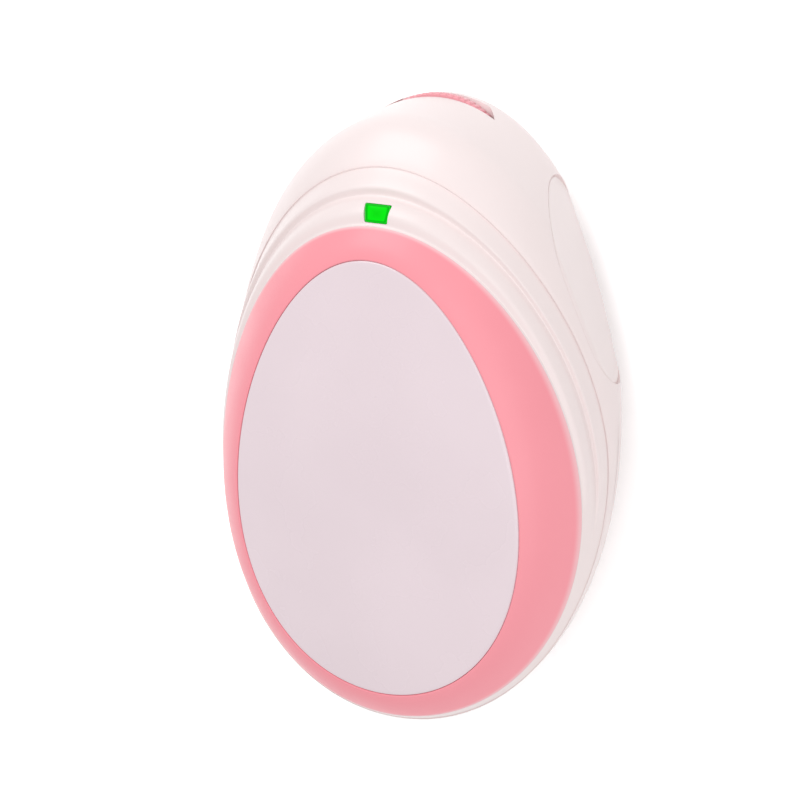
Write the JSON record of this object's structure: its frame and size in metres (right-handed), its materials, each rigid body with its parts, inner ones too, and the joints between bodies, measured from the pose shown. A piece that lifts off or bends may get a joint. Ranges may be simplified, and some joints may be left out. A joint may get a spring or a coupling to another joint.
{
  "type": "fetal doppler monitor",
  "caption": "Hand-held fetal heart monitor: egg-shaped two-part case with coloured ring, thumbwheel, finger scoops, battery door and round ultrasound probe in the back.",
  "frame": {"origin": "centre of the round probe's flat face, which the monitor stands on", "axes": "+Y along the back towards the thumbwheel, +Z out of the back towards the front cover, +X to the right as the front is seen with the thumbwheel up"},
  "size_m": [0.078, 0.1156, 0.0419],
  "materials": {
    "cover_white": "polished",
    "ring_pink": "polished",
    "case_white": "satin",
    "light_green": "clear tinted",
    "wheel_pink": "satin",
    "window_grey": "smooth",
    "crystal": "ceramic",
    "backing": "cast resin",
    "shield": "drawn sheet",
    "board_green": "printed circuit",
    "chip_black": "moulded",
    "can": "sleeved",
    "pot_grey": "moulded",
    "tray_white": "moulded",
    "cell": "printed sleeve",
    "spring_steel": "plated"
  },
  "bodies": {
    "case": {"front_cover": "cover_white", "ring_bezel": "ring_pink", "front_shell": "case_white", "light_window": "light_green", "rear_shell": "case_white", "probe_housing": "case_white", "probe_window": "window_grey", "transmit_crystal": "crystal", "receive_crystal": "crystal", "probe_backing": "backing", "probe_shield": "shield", "main_board": "board_green", "signal_lamp": "light_green", "main_chip": "chip_black", "amplifier_chip": "chip_black", "capacitors": "can", "control_board": "board_green", "volume_control": "pot_grey", "phone_jack": "chip_black", "battery_tray": "tray_white", "battery_1": "cell", "battery_2": "cell", "bridge_contact": "spring_steel", "positive_contact": "spring_steel", "negative_contact": "spring_steel", "case_screws": "spring_steel"},
    "door": {"battery_door": "case_white"},
    "wheel": {"volume_wheel": "wheel_pink", "wheel_shaft": "spring_steel"}
  },
  "joints": [
    {"name": "wheel_turn", "type": "hinge", "parent": "case", "child": "wheel", "pos_m": [0, 0.03814, 0.0156], "axis": [0, 0, 1], "range_deg": [0, 300]},
    {"name": "door_slide", "type": "slide", "parent": "case", "child": "door", "axis": [0, -1, 0], "range_m": [0, 0.03]}
  ]
}
